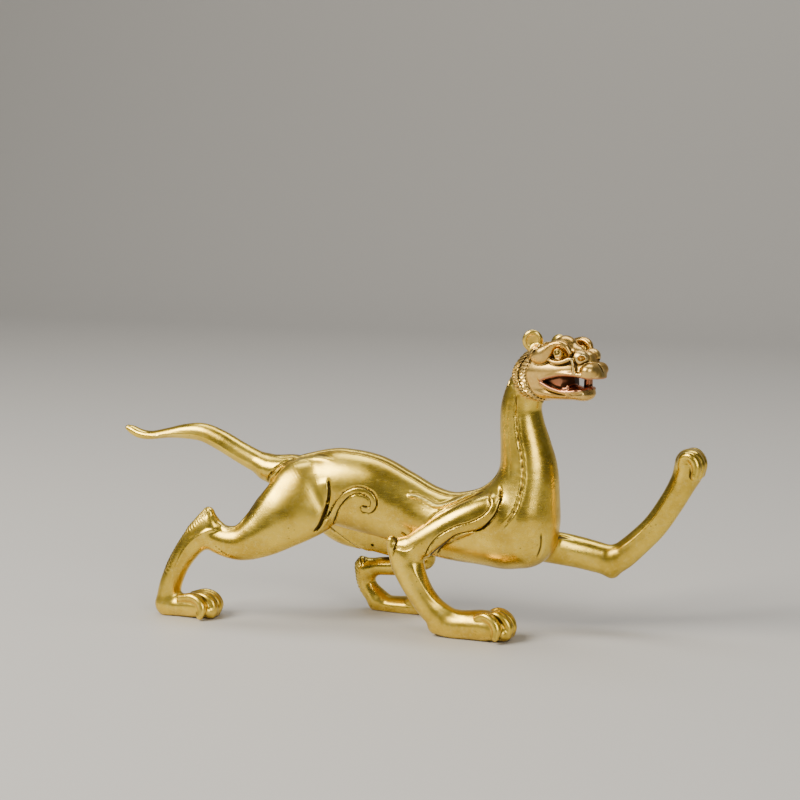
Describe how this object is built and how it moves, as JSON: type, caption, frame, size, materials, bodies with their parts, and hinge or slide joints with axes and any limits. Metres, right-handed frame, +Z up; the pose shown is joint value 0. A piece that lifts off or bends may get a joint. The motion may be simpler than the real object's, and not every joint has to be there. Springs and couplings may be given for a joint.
{
  "type": "animal figurine",
  "caption": "Free-standing polished cast brass statuette of a striding long-necked beast, one forepaw raised, assembled from cast sections with pinned and brazed spigots.",
  "frame": {"origin": "on the ground, under the middle of the bounding box", "axes": "+X forward, the way the beast walks; -Y the beast's right side; +Z up"},
  "size_m": [0.2602, 0.054, 0.1308],
  "materials": {
    "polished_brass": "polished cast brass, warm yellow, browner in the grooves, finely pitted and scratched",
    "head_brass": "polished cast brass with a slight copper tint, reddish in the mouth",
    "pin_brass": "drawn brass pin, filed and peened flush",
    "braze_filler": "pale yellow brazing filler, as flowed"
  },
  "bodies": {
    "root": {"torso": "polished_brass", "tail": "polished_brass", "right_hind_leg": "polished_brass", "left_hind_leg": "polished_brass", "right_foreleg": "polished_brass", "left_foreleg": "polished_brass", "head": "head_brass", "right_ear": "head_brass", "left_ear": "head_brass", "right_eye": "head_brass", "left_eye": "head_brass", "right_hind_leg_pin": "pin_brass", "left_hind_leg_pin": "pin_brass", "right_foreleg_pin": "pin_brass", "left_foreleg_pin": "pin_brass", "tail_pin": "pin_brass", "neck_pin": "pin_brass", "core_plugs": "pin_brass", "right_hind_leg_ring": "braze_filler", "left_hind_leg_ring": "braze_filler", "right_foreleg_ring": "braze_filler", "left_foreleg_ring": "braze_filler", "tail_ring": "braze_filler", "neck_ring": "braze_filler"}
  },
  "joints": []
}
